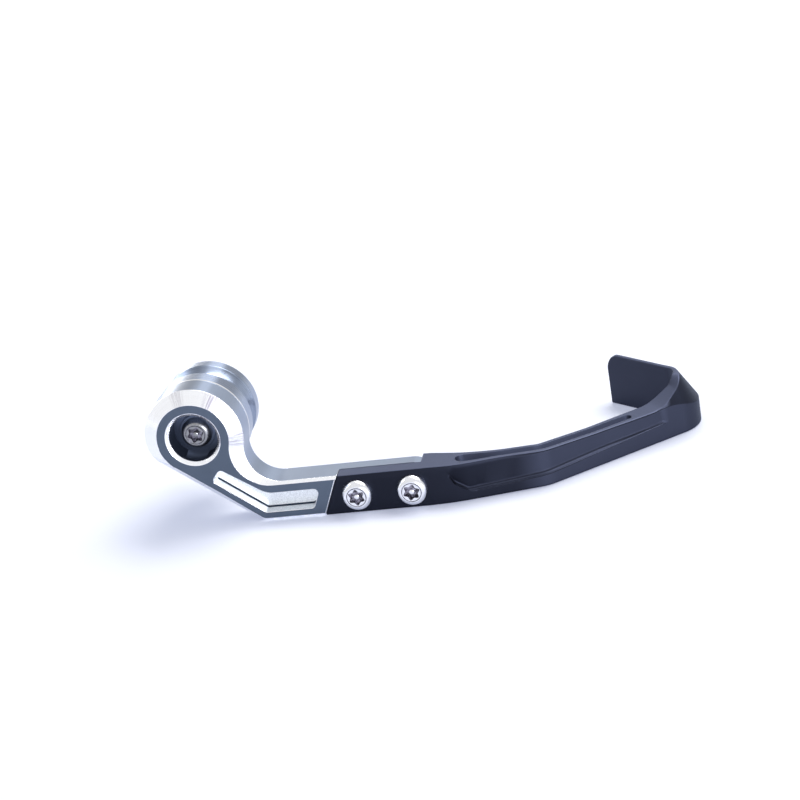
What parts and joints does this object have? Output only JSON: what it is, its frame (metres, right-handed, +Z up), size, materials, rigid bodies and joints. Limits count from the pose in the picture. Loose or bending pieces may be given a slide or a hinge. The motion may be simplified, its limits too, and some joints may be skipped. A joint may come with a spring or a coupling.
{
  "type": "brake lever guard",
  "caption": "Bar-end brake lever guard: a pocketed arm with a round eye, a bent blade with a hooked and raised tab, a grooved collar and an expanding plug.",
  "frame": {"origin": "on the handlebar's axis, in the plane where the collar meets the end of the bar", "axes": "+X along the arm's straight part towards the blade, +Y along the bar towards the rider's hand, +Z up, from the arm to the eye"},
  "size_m": [0.1867, 0.0833, 0.0501],
  "materials": {
    "arm_metal": "anodised silver with a blue cast, machined and turned",
    "blade_metal": "satin black anodised",
    "screw_steel": "bright stainless",
    "collar_metal": "anodised silver, turned",
    "bolt_steel": "plain stainless",
    "washer_steel": "plain stainless",
    "sleeve_metal": "plain, turned",
    "nut_steel": "zinc plated"
  },
  "bodies": {
    "root": {"arm": "arm_metal", "blade": "blade_metal", "inner_blade_screw": "screw_steel", "outer_blade_screw": "screw_steel", "bar_end_collar": "collar_metal", "clamp_bolt": "bolt_steel", "bolt_washer": "washer_steel", "expander_sleeve": "sleeve_metal", "cone_nut": "nut_steel"}
  },
  "joints": []
}
